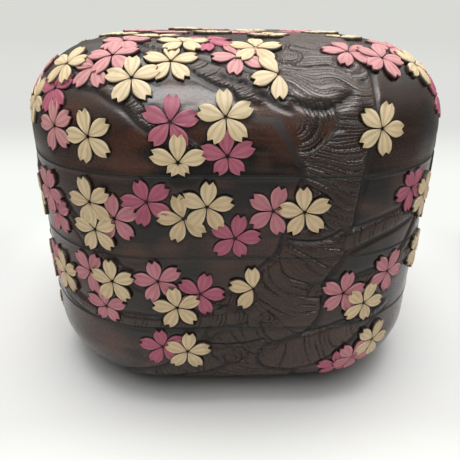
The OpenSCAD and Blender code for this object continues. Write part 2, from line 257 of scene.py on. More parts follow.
# The tree: each limb has its ridges' pitch, and a line of places with half widths, all in mm
limbs = {
    "trunk": (3.4, [
        (onSide(0, 6), 25), (onSide(1, 20), 23), (onSide(3.4, 35), 20), (onSide(7.3, 43), 17.2),
        (onSide(10.1, 51), 14.8), (onSide(11.8, 62), 14.2), (onSide(15, 73), 13.2), (onSide(17.3, 85), 13),
        (onSide(18.9, 97), 12), (onSide(20, 107), 11.8), (onLid(20, 0.09), 12.4), (onLid(19, 0.2), 14.5),
        (onLid(18, 0.32), 17), (onLid(17, 0.45), 18), (onLid(17, 0.62), 17), (onLid(16, 0.85), 15.5),
        (onTop(0.37, -0.3), 14.5), (onTop(0.37, 0.05), 14), (onTop(0.28, 0.42), 13), (onLid(166, 0.8), 12),
        (onLid(167, 0.45), 10.5), (onLid(169, 0.15), 9), (onSide(171, 98), 7.5), (onSide(174, 84), 5.5),
        (onSide(178, 72), 3.5)]),
    "leftRoot": (3, [(onSide(2, 36), 9), (onSide(-6, 27), 8), (onSide(-14, 18), 6.5), (onSide(-24, 12), 4.5),
                       (onSide(-34, 8), 2.5)]),
    "rightRoot": (3, [(onSide(9.5, 26), 8.5), (onSide(13, 26.5), 9.8), (onSide(17, 29.5), 9.3),
                        (onSide(21.5, 32.5), 8.2), (onSide(25.5, 36), 6.5), (onSide(29.5, 39.5), 4.5),
                        (onSide(34, 43), 3), (onSide(40, 47), 2)]),
    "lowBand": (1.9, [(onSide(4, 48), 4), (onSide(-10, 45.5), 3.8), (onSide(-24, 44.4), 3.4),
                      (onSide(-36, 45.5), 3.2), (onSide(-47, 49), 3.2), (onSide(-60, 55), 3),
                      (onSide(-78, 52), 2.8), (onSide(-96, 59), 2.4), (onSide(-114, 55), 2)]),
    "leftBranch": (1.8, [(onSide(6, 56), 3.6), (onSide(-8, 57), 3.2), (onSide(-22, 63), 3), (onSide(-31, 71.7), 2.8),
                         (onSide(-35, 78), 2.7), (onSide(-42, 90), 2.6), (onSide(-50, 98), 2.5),
                         (onSide(-62, 100), 2.5), (onSide(-78, 93), 2.3), (onSide(-95, 97), 2.1),
                         (onSide(-112, 90), 1.8)]),
    "rightBranch": (1.9, [(onSide(21, 80), 4.6), (onSide(25, 82), 4.4), (onSide(33, 86), 4.2),
                          (onSide(42, 88.5), 4), (onSide(54, 92), 3.6), (onSide(68, 99), 3.2),
                          (onLid(80, 0.12), 2.9), (onLid(94, 0.1), 2.5), (onSide(110, 102), 2.2),
                          (onSide(126, 94), 1.8)]),
    "farBranch": (1.9, [(onSide(14, 60), 3.8), (onSide(24, 61), 3.6), (onSide(34, 64), 3.4), (onSide(43, 70), 3.3),
                        (onSide(50, 86), 3), (onSide(57, 97), 2.8), (onLid(63, 0.1), 2.6), (onLid(70, 0.4), 2.4),
                        (onLid(84, 0.62), 2)]),
    "rightLow": (1.9, [(onSide(40, 67), 3), (onSide(52, 66), 3), (onSide(68, 60), 2.9), (onSide(88, 60), 2.7),
                       (onSide(104, 54), 2.4), (onSide(122, 58), 2)]),
    "lidLimb": (1.7, [(onLid(10, 0.44), 8), (onLid(4, 0.46), 7.5), (onLid(-0.5, 0.55), 4.8), (onLid(-4, 0.58), 4.6),
                      (onLid(-7.5, 0.63), 3.8), (onLid(-11, 0.69), 3.4), (onLid(-18, 0.77), 3.2),
                      (onLid(-28, 0.88), 3), (onTop(-0.5, -0.3), 2.8), (onTop(-0.56, 0), 2.6),
                      (onTop(-0.62, 0.4), 2.2)]),
    "topLimb": (1.6, [(onLid(12, 0.8), 6), (onLid(3, 0.86), 5), (onLid(-8, 0.84), 4.4), (onLid(-22, 0.92), 4),
                      (onTop(-0.34, -0.3), 3.6), (onTop(-0.3, 0.1), 3), (onTop(-0.2, 0.42), 2.6),
                      (onTop(-0.05, 0.7), 2)]),
    "lowLimb": (1.5, [(onLid(-4, 0.07), 1.2), (onLid(-9, 0.16), 1.5), (onLid(-13, 0.22), 2), (onLid(-18.4, 0.3), 2.8),
                      (onLid(-22.7, 0.41), 3.2), (onLid(-26.5, 0.46), 3.3), (onLid(-31, 0.51), 3.2),
                      (onLid(-36, 0.52), 3), (onLid(-44, 0.54), 2.8), (onLid(-56, 0.46), 2.6),
                      (onLid(-72, 0.5), 2.4), (onLid(-88, 0.36), 2.2), (onLid(-104, 0.44), 2)]),
    "backLeft": (2, [(onSide(172, 92), 4), (onSide(180, 86), 3.5), (onSide(-168, 81), 3.2),
                     (onSide(-152, 86), 2.8), (onSide(-136, 80), 2.4), (onSide(-122, 72), 2)]),
    "backRight": (2, [(onLid(167, 0.3), 5), (onLid(156, 0.12), 4), (onSide(144, 98), 3.4), (onSide(132, 86), 2.8),
                      (onSide(122, 74), 2.2)]),
    "backLow": (2, [(onSide(177, 74), 3.2), (onSide(168, 62), 3), (onSide(152, 56), 2.6), (onSide(138, 50), 2.2)]),
    "lidBack": (2, [(onLid(168, 0.6), 5), (onLid(180, 0.5), 4.2), (onLid(-166, 0.36), 3.6), (onLid(-148, 0.5), 3),
                    (onLid(-132, 0.36), 2.6), (onLid(-116, 0.44), 2)]),
}
bluntLimbs = ("trunk", "rightRoot")  # these end square over what is behind them
# Knots in the bark: place, radius and distance between their rings, in mm
knots = [(onLid(10, 0.74), 6, 2.2), (onSide(14, 88), 4.5, 2),
         (onSide(7, 47), 4, 2), (onSide(-1, 26), 5, 2.3), (onTop(0.42, -0.1), 6, 2.3), (onLid(24, 0.66), 5, 2.2)]
# The burl beside the trunk: thin raised rings, wider than high
burl = {"place": onLid(7.2, 0.325)[0], "radius": 17, "top": 135, "gap": 3.1, "rise": 0.55,
        "stretch": (0.85, 0.9, 1.1)}
# Edges of bark plates, from left to right with the higher plate above them: places, depth, rise
plates = [
    ([onLid(-6, 0.6), onLid(1.6, 0.525), onLid(4.4, 0.46), onLid(7.3, 0.405), onLid(11, 0.36)], 0.7, 0.5),
    ([onLid(10, 0.45), onLid(11.6, 0.41), onLid(13.8, 0.39), onLid(16.2, 0.382), onLid(18.5, 0.405),
      onLid(21.3, 0.45), onLid(24, 0.49)], 0.6, 0.5),
    ([onSide(9, 85), onSide(12, 83), onSide(17, 82.5), onSide(21, 85), onSide(24, 89)], 0.6, 0.3),
    ([onSide(-12, 35), onSide(-4, 33), onSide(3, 34), onSide(8, 37)], 0.7, 0.3),
]
# Where the lacquer is rubbed through to red brown: place and size in mm
bulge = {"place": onLid(17.5, 0.47)[0], "radius": 11, "rise": 0.8}  # the big plate swells out
wornSpots = [(onLid(8, 0.25), 13), (onLid(14, 0.56), 7), (onLid(2, 0.57), 5), (onLid(-24, 0.1), 7),
             (onLid(-21, 0.24), 5), (onLid(-9.5, 0.22), 6), (onLid(-13, 0.54), 5), (onLid(-5.5, 0.03), 7),
             (onLid(4, 0.1), 6), (onLid(28, 0.52), 6), (onLid(-38, 0.33), 5), (onSide(-4, 77), 7),
             (onSide(-15, 82), 8), (onSide(-24, 76), 7), (onSide(-34, 88), 6), (onSide(-9, 60), 7),
             (onSide(-22, 68), 6), (onSide(-32, 29), 9), (onSide(-20, 25), 8), (onSide(-6, 40), 5),
             (onSide(22, 70), 5), (onSide(36, 61), 6), (onSide(11, 100), 5)]
bark = {
    "raise": 0.5,  # height of a limb's body over the ground
    "depth": 0.6,  # of the cuts between ridges
    "edgeCut": 0.75,  # depth of the V cut beside a limb
    "edgeWidth": 1.05,
    "plateWidth": 5,  # over which a plate's rise fades
    "scoop": 0.45,  # of the hollows in the ground
}


# A limb's line drawn smooth through its places, held on the skin
def limbLine(stops):
    points = np.array([stop[0][0] for stop in stops])
    widths = np.array([stop[1] for stop in stops], float)
    ends = np.vstack([2 * points[0] - points[1], points, 2 * points[-1] - points[-2]])
    line, wide = [], []
    for i in range(len(points) - 1):
        a, b, c, d = ends[i:i + 4]
        for t in np.linspace(0, 1, 6, endpoint=False):
            line.append(0.5 * (2 * b + (c - a) * t + (2 * a - 5 * b + 4 * c - d) * t ** 2
                               + (3 * b - a - 3 * c + d) * t ** 3))
            wide.append(widths[i] * (1 - t) + widths[i + 1] * t)
    line.append(points[-1])
    wide.append(widths[-1])
    return skin(np.array(line))[0], np.array(wide)


# For each of p near a limb: distance from its line, run along it, side of it and half width there
def alongLimb(p, normal, stops):
    line, wide = limbLine(stops)
    runs = np.concatenate([[0], np.cumsum(np.linalg.norm(np.diff(line, axis=0), axis=1))])
    best = np.full(len(p), 1e9)
    run, across, half = np.zeros(len(p)), np.zeros(len(p)), np.ones(len(p))
    for i in range(len(line) - 1):
        margin = wide[i] * 1.3 + 6
        low, high = np.minimum(line[i], line[i + 1]) - margin, np.maximum(line[i], line[i + 1]) + margin
        close = np.flatnonzero(((p > low) & (p < high)).all(axis=1))
        if len(close) == 0:
            continue
        leg = line[i + 1] - line[i]
        t = np.clip((p[close] - line[i]) @ leg / (leg @ leg), 0, 1)
        gap = p[close] - (line[i] + t[:, None] * leg)
        far = np.linalg.norm(gap, axis=1)
        near = far < best[close]
        spots, t, gap, far = close[near], t[near], gap[near], far[near]
        best[spots] = far
        run[spots] = runs[i] + t * np.linalg.norm(leg)
        half[spots] = wide[i] * (1 - t) + wide[i + 1] * t
        across[spots] = far * np.sign(np.einsum("ij,ij->i", np.cross(leg, gap), normal[spots]))
    return best, run, across, half, runs[-1]


def ease(x):
    x = np.clip(x, 0, 1)
    return x * x * (3 - 2 * x)


# Sharp-bottomed cuts, from 0 on the ridges to -1 at the bottoms, once for each whole step of phase
def cuts(phase, sharp):
    return np.abs(np.sin(math.pi * phase)) ** sharp - 1


# The carving over the plain skin: its height, how much is bark, the phase of its ridges,
# how strongly they are cut, how deep in a V cut a point is and how near to a petal
def carving(p, normal, allPetals):
    found = {"height": -bark["scoop"] * (0.6 + 0.5 * waves(p, 48, 3)) - 0.08 * waves(p, 19, 4)}
    for key in ("bark", "phase", "gouge", "groove"):
        found[key] = np.zeros(len(p))
    for index, (name, (pitch, stops)) in enumerate(limbs.items()):
        far, run, across, half, length = alongLimb(p, normal, stops)
        half = half * (1 + 0.1 * waves(p, 26, 20 + index))
        fade = 1 if name in bluntLimbs else ease(run / 9)
        body = ease((half - far) / np.minimum(1.6, half * 0.6)) * fade * ease((length - run) / 5 + 0.2)
        sag = 0.3 * (across + 0.45 * half) ** 2 / np.maximum(half, 3)
        phase = (run - sag + 1.5 * waves(p, 34, 40 + index)) / pitch + 0.3 * waves(p, 12, 50 + index)
        lens = np.column_stack([phase * 5, across * 0.55, 0 * phase])
        gouge = ease(0.55 + 0.75 * waves(lens, 9, 60 + index))
        coarse = np.clip((pitch - 1.2) / 2, 0.25, 1)
        crown = bark["raise"] * (0.55 + 0.45 * np.sqrt(np.clip(1 - (far / np.maximum(half, 1)) ** 2, 0, 1)))
        inner = 0.3 + 0.7 * ease((half - far) / (half * 0.25))
        limbHeight = crown + inner * coarse * bark["depth"] * (0.15 + 0.85 * gouge) * cuts(phase, 0.42)
        small = np.clip(half / 6, 0.55, 1)
        edge = small * np.exp(-((far - half - 0.2) / bark["edgeWidth"]) ** 2) * fade
        edge *= ease((length - run) / 4 + 0.3)
        found["height"] = found["height"] * (1 - body) + limbHeight * body - bark["edgeCut"] * edge
        found["groove"] = np.maximum(found["groove"] * (1 - body), edge)
        for key, value in (("phase", phase), ("gouge", gouge * inner)):
            found[key] = np.where(body > 0.3, value, found[key])
        found["bark"] = np.maximum(found["bark"], body)
    offset = (p - burl["place"]) * burl["stretch"]
    far = np.linalg.norm(offset, axis=1) * (1 + 0.07 * waves(p, 34, 9))
    within = ease((burl["radius"] - far) / 2) * ease((burl["top"] - p[:, 2]) / 2.5)
    rings = far / burl["gap"] + 0.25 * waves(p, 16, 10)
    sector = ease(0.3 + (offset[:, 0] - offset[:, 2]) / 13) * ease(0.6 + 0.7 * waves(p, 13, 11)) * ease((far - 4) / 6)
    ridge = -cuts(rings, 0.55) * burl["rise"] * sector
    found["height"] = found["height"] * (1 - within) + (ridge - 0.7) * within
    found["phase"] = np.where(within > 0.3, rings + 0.5, found["phase"])
    found["gouge"] = found["gouge"] * (1 - within) + 0.9 * sector * within
    found["bark"] *= 1 - within * (1 - sector)
    found["worn"] = 0.7 * within
    for spot, size in wornSpots:
        far = np.linalg.norm(p - spot[0], axis=1)
        found["worn"] = np.maximum(found["worn"], np.exp(-(far / size) ** 2))
    for spot, radius, gap in knots:
        far = np.linalg.norm((p - spot[0]) * [1, 1, 1.2], axis=1) * (1 + 0.1 * waves(p, 30, 8))
        within = ease((radius - far) / 2)
        rings = far / gap + 0.25 * waves(p, 14, 7) + 0.3
        found["height"] = found["height"] * (1 - within) + (0.4 + 0.8 * cuts(rings, 0.6)) * within
        found["height"] -= 0.6 * np.exp(-((far - radius) / 0.9) ** 2)
        found["phase"] = np.where(within > 0.5, rings, found["phase"])
        found["bark"] = np.maximum(found["bark"], within)
    found["height"] += bulge["rise"] * np.exp(-(np.linalg.norm(p - bulge["place"], axis=1) / bulge["radius"]) ** 2)
    for line, depth, rise in plates:
        far, run, across, half, length = alongLimb(p, normal, [(spot, 4) for spot in line])
        ends = ease(run / 4) * ease((length - run) / 4)
        edge = np.exp(-(far / 1.15) ** 2) * ends
        calm = 1 - 0.95 * np.exp(-(far / 2.3) ** 2) * ends
        found["height"] *= calm
        found["gouge"] *= calm
        above = np.clip(across / bark["plateWidth"], 0, 1)
        found["height"] += rise * (1 - above) * ease(across / 0.7) * ends - depth * edge
        found["height"] -= 0.4 * np.exp(-(np.minimum(across, 0) / 2) ** 2) * (across < 0) * (far < 8) * ends
        found["groove"] = np.maximum(found["groove"], edge)
    near = np.full(len(p), 9.0)
    for leaf in allPetals:
        offset = p - leaf["foot"]
        close = np.linalg.norm(offset, axis=1) < leaf["length"] + 4
        x = offset[close] @ leaf["way"]
        y = np.abs(offset[close] @ leaf["side"])
        half = leaf["width"] / 2 * petalFullness(x / leaf["length"])
        beyond = np.maximum(np.maximum(x - leaf["length"], -x), 0)
        near[close] = np.minimum(near[close], np.hypot(beyond, np.maximum(y - half, 0)))
    well = np.exp(-(near / petal["wellWidth"]) ** 2)
    seam = np.min([np.abs(p[:, 2] - z) for z in (middleZ, upperZ, lidZ)], axis=0)
    found["height"] *= 0.55 + 0.45 * ease(seam / 1.6)
    found["height"] = np.clip(found["height"] * (1 - 0.8 * well) - petal["well"] * well, -1.6, 1.2)
    # well and groove are read by the lacquer as masks for painted shade
    found["well"] = well
    found["groove"] = np.maximum(found["groove"], 1 - ease((seam - 0.25) / 0.5))
    return found


# A section's column of points, swept along one side and corner, then turned to the other three
def sweepSection(bm, section, spacing):
    start = [bm.verts.new(Vector((-flat, inset - halfWidth, z)) * mm) for inset, z in section["points"]]
    links = list(zip(start, start[1:])) + ([(start[-1], start[0])] if section["closed"] else [])
    geom = start + [bm.edges.new(pair) for pair in links]
    flatSteps = round(2 * flat / spacing)
    cornerSteps = round(shape["cornerR"] * math.pi / 2 / spacing)
    step = Vector((2 * flat / flatSteps, 0, 0)) * mm
    made = bmesh.ops.spin(bm, geom=geom, cent=(0, 0, 0), axis=(0, 0, 1), dvec=step, angle=0, steps=flatSteps)
    bmesh.ops.spin(bm, geom=made["geom_last"], cent=Vector((flat, -flat, 0)) * mm, axis=(0, 0, 1),
                   angle=math.pi / 2, steps=cornerSteps)
    bmesh.ops.spin(bm, geom=bm.verts[:] + bm.edges[:] + bm.faces[:], cent=(0, 0, 0), axis=(0, 0, 1),
                   angle=math.pi * 1.5, steps=3, use_duplicate=True)
    bmesh.ops.remove_doubles(bm, verts=bm.verts, dist=0.01 * mm)
    return flatSteps


def evenSteps(start, end, spacing):
    count = max(1, round(abs(end - start) / spacing))
    return [start + (end - start) * i / count for i in range(count + 1)]


# Outer line of a section from one rim to the other, with the rims eased
def outerRun(low, high, spacing):
    soft = shape["rimEase"]
    points = [(soft, low), (soft * 0.3, low + soft * 0.3)]
    points += [(0, z) for z in evenSteps(low + soft, high - soft, spacing)]
    return points + [(soft * 0.3, high - soft * 0.3), (soft, high)]


def arcRun(radius, insetCentre, zCentre, start, end, spacing):
    count = max(6, round(abs(end - start) * radius / spacing))
    angles = [start + (end - start) * i / count for i in range(count + 1)]
    return [(insetCentre - radius * math.cos(a), zCentre + radius * math.sin(a)) for a in angles]


def tierSection(low, high, spacing):
    seat = high - shape["lipSeat"]
    shoulder = low + grooveHeight + shape["floor"]
    inner = [(seatInset, high), (seatInset, seat), (shape["wall"], seat), (shape["wall"], shoulder),
             (grooveInset, shoulder), (grooveInset, low)]
    return {"points": outerRun(low, high, spacing) + inner, "closed": True}


def bowlSection(spacing):
    edge, soft = shape["baseEdgeR"], shape["rimEase"]
    innerR = edge - shape["wall"]
    floorZ = shape["baseFloor"]
    seat = middleZ - shape["lipSeat"]
    points = [(shape["cornerR"], 0)] + arcRun(edge, edge, edge, -math.pi / 2, 0, spacing)
    points += [(0, z) for z in evenSteps(edge, middleZ - soft, spacing)[1:]]
    points += [(soft * 0.3, middleZ - soft * 0.3), (soft, middleZ)]
    points += [(seatInset, middleZ), (seatInset, seat), (shape["wall"], seat)]
    points += arcRun(innerR, edge, floorZ + innerR, 0, -math.pi / 2, 3) + [(shape["cornerR"], floorZ)]
    return {"points": points, "closed": False}


def lidSection(spacing):
    edge, soft = shape["lidEdgeR"], shape["rimEase"]
    innerR = edge - shape["wall"]
    ceiling = topZ - shape["lidTop"]
    points = [(shape["cornerR"], ceiling)] + arcRun(innerR, edge, ceiling - innerR, math.pi / 2, 0, 3)
    points += [(shape["wall"], lidZ + grooveHeight), (grooveInset, lidZ + grooveHeight), (grooveInset, lidZ)]
    points += [(soft, lidZ), (soft * 0.3, lidZ + soft * 0.3)]
    points += [(0, z) for z in evenSteps(lidZ + soft, topZ - edge, spacing)]
    points += arcRun(edge, edge, topZ - edge, 0, math.pi / 2, spacing)[1:]
    points += [(inset, topZ) for inset in evenSteps(edge, shape["cornerR"], max(spacing, shape["topSpacing"]))[1:]]
    return {"points": points, "closed": False}


# The square left open in the middle of a floor or top
def fillMiddle(bm, z, steps):
    centre = Matrix.Translation((0, 0, z * mm))
    bmesh.ops.create_grid(bm, x_segments=steps, y_segments=steps, size=flat * mm, matrix=centre)


def finishMesh(bm, name, sharpAngle):
    mesh = bpy.data.meshes.new(name)
    bm.to_mesh(mesh)
    bm.free()
    mesh.shade_smooth()
    mesh.set_sharp_from_angle(angle=math.radians(sharpAngle))
    piece = bpy.data.objects.new(name, mesh)
    bpy.context.scene.collection.objects.link(piece)
    return piece


def addValues(mesh, name, values):
    layer = mesh.attributes.new(name, "FLOAT", "POINT")
    layer.data.foreach_set("value", np.asarray(values, np.float32))


# One carved shell: the section swept, the middle closed, and the skin moved by the carving
def carvedShell(name, section, middles, spacing):
    bm = bmesh.new()
    steps = sweepSection(bm, section, spacing)
    for z in middles:
        fillMiddle(bm, z, steps)
    bmesh.ops.remove_doubles(bm, verts=bm.verts, dist=0.01 * mm)
    bmesh.ops.recalc_face_normals(bm, faces=bm.faces)
    co = np.array([v.co for v in bm.verts]) / mm
    spot, normal = skin(co)
    carved = np.einsum("ij,ij->i", spot - co, normal) < 1
    allPetals = [leaf for colour in blossoms[name] for leaf in petalsOf(name, colour)]
    found = carving(spot[carved], normal[carved], allPetals)
    lift = np.zeros(len(co))
    lift[carved] = found["height"]
    lift *= ease((co[:, 2] - 3) / 6)  # the underside stays flat
    for vert, place in zip(bm.verts, (co + normal * lift[:, None]) * mm):
        vert.co = place
    piece = finishMesh(bm, name + "Shell", 50)
    addValues(piece.data, "carved", carved)
    for key, part in found.items():
        values = np.zeros(len(co))
        values[carved] = part
        addValues(piece.data, key, values)
    return piece


# Petal blank: a grid with a skirt, closed below. x is the share of the length, closer near the tip,
# y the share of the half width, closer near the rims, z is 0 on top and -1 at the bottom
def petalBlank():
    bm = bmesh.new()
    bmesh.ops.create_grid(bm, x_segments=8, y_segments=6, size=0.5)
    for v in bm.verts:
        v.co = Vector((math.sin((v.co.x + 0.5) * math.pi / 2), math.sin(v.co.y * math.pi), 0))
    lower = bmesh.ops.extrude_face_region(bm, geom=bm.faces[:], use_keep_orig=True)["geom"]
    for v in [part for part in lower if isinstance(part, bmesh.types.BMVert)]:
        v.co.z = -1
    bmesh.ops.dissolve_faces(bm, faces=[part for part in lower if isinstance(part, bmesh.types.BMFace)],
                             use_verts=False)
    bmesh.ops.recalc_face_normals(bm, faces=bm.faces)
    mesh = bpy.data.meshes.new("petalBlank")
    bm.to_mesh(mesh)
    bm.free()
    return mesh


# Each point of the blank on its petal, in mm: how far along, how far across, how high over the skin
def petalForm(share, side, leaf, cup, crease, tilt):
    end = leaf["length"] - petalEnd(side)
    x = petal["footGap"] + share * (end - petal["footGap"])
    y = side * leaf["width"] / 2 * petal["slim"] * np.maximum(petalFullness(0.07 + 0.78 * share), 0.1)
    cup = cup * (0.3 if leaf["over"] else 0.62)
    hollow = -cup * np.sin(np.clip(np.abs(side) / 0.87, 0, 1) * math.pi) ** 2
    middle = -crease * np.exp(-(side / 0.2) ** 2)
    inward = ease(share / 0.3) * ease((1.02 - share) / 0.15)
    edge = -petal["bevel"] * ((np.abs(side) > 0.95) | (share > 0.99) | (share < 0.01))
    foot = -0.2 * (1 - ease(share / 0.45))
    top = petal["top"] - 0.1 * np.abs(tilt) + 0.1 * tilt * side + (hollow + middle) * inward + edge + foot
    top += leaf["over"] * petal["over"] + leaf["step"] * (0.1 if leaf["over"] else 0.04)
    return x, y, top + leaf["rank"] * petal["rankRise"]


def petalPiece(name, colour, blank):
    bm = bmesh.new()
    chance = np.random.default_rng(len(name) * 31 + len(colour))
    run, across, tone, rim, fold = [], [], [], [], []
    for leaf in petalsOf(name, colour):
        first = len(bm.verts)
        bm.from_mesh(blank)
        bm.verts.ensure_lookup_table()
        fresh = bm.verts[first:]
        local = np.array([v.co for v in fresh])
        x, y, top = petalForm(local[:, 0], local[:, 1], leaf, *chance.uniform([0.4, -0.1, -1], [1, 0.15, 1]))
        plane = leaf["foot"] + x[:, None] * leaf["way"] + y[:, None] * leaf["side"]
        spot, normal = skin(plane)
        bottom = leaf["over"] * petal["over"] - petal["sunk"]
        lift = np.where(local[:, 2] < -0.5, bottom, top)
        for v, p in zip(fresh, (spot + normal * lift[:, None]) * mm):
            v.co = p
        run += list(x / leaf["length"])
        across += list(y)
        tone += [chance.uniform(-1, 1)] * len(fresh)
        fold += list(np.abs(local[:, 1]))
        # the skirt and top edge carry rim, which the paint turns into the dark outline, partly painted shade
        onRim = (np.abs(local[:, 1]) > 0.95) | (local[:, 0] > 0.99) | (local[:, 0] < 0.01)
        rim += list(np.where(local[:, 2] < -0.5, 1, 0.55 * onRim))
    bmesh.ops.recalc_face_normals(bm, faces=bm.faces)
    piece = finishMesh(bm, name + "Petals" + colour.capitalize(), 60)
    addValues(piece.data, "run", run)
    addValues(piece.data, "across", across)
    addValues(piece.data, "tone", tone)
    addValues(piece.data, "rim", rim)
    addValues(piece.data, "fold", fold)
    return piece


def linear(hexColour):
    parts = [int(hexColour[i:i + 2], 16) / 255 for i in (1, 3, 5)]
    return tuple(c / 12.92 if c <= 0.04045 else ((c + 0.055) / 1.055) ** 2.4 for c in parts) + (1,)


# Adds one node: settings by name, sockets by name as values or as links from other sockets
def addNode(tree, kind, settings=None, **sockets):
    node = tree.nodes.new(kind)
    for key, value in (settings or {}).items():
        setattr(node, key, value)
    for key, value in sockets.items():
        socket = node.inputs[int(key[1:])] if key[0] == "i" and key[1:].isdigit() else node.inputs[key.replace("_", " ")]
        if isinstance(value, bpy.types.NodeSocket):
            tree.links.new(value, socket)
        else:
            socket.default_value = value
    return node


def newMaterial(name):
    material = bpy.data.materials.new(name)
    material.use_nodes = True
    tree = material.node_tree
    tree.nodes.clear()
    surface = addNode(tree, "ShaderNodeBsdfPrincipled")
    output = addNode(tree, "ShaderNodeOutputMaterial")
    tree.links.new(surface.outputs[0], output.inputs[0])
    return material, tree, surface


def blendColours(tree, share, first, second, mode="MIX"):
    mix = addNode(tree, "ShaderNodeMix", {"data_type": "RGBA", "blend_type": mode})
    for socket, value in ((mix.inputs[0], share), (mix.inputs[6], first), (mix.inputs[7], second)):
        if isinstance(value, bpy.types.NodeSocket):
            tree.links.new(value, socket)
        else:
            socket.default_value = value
    return mix.outputs[2]


def remap(tree, value, low, high, outLow=0.0, outHigh=1.0):
    node = addNode(tree, "ShaderNodeMapRange", {"interpolation_type": "SMOOTHSTEP"}, i0=value, i1=low, i2=high,
                   i3=outLow, i4=outHigh)
    return node.outputs[0]


def objectCoords(tree, scale=(1, 1, 1)):
    coords = addNode(tree, "ShaderNodeTexCoord")
    mapping = addNode(tree, "ShaderNodeMapping", i0=coords.outputs["Object"], i3=scale)
    return mapping.outputs[0]


def perMm(size):
    return 1 / (size * mm)  # a noise scale, from the size of its spots in mm


lacquer = {
    "dark": "#17100d", "brown": "#3a2219", "worn": "#503023", "recess": "#361b0e", "ridge": "#442a1d",
    # cut is the colour of the painted shade in the cuts, fine lines, grooves, seams and wells; pale is the painted
    # sheen over the shoulder
    "cut": "#040303", "pale": "#7a6961",
    "cloudSize": 46, "wornSize": 34, "grainLength": 26, "grainWidth": 1.1, "speckSize": 0.7,
    "roughness": 0.22, "barkRoughness": 0.25, "grooveRoughness": 0.4, "specular": 0.4,
    "fineFrom": 105, "fineTo": 125,  # heights between which the bark's ridges turn fine
    "sheenFrom": 128, "sheenTo": 140,  # heights between which a painted sheen makes the bark paler over the shoulder, where the light from above falls
}


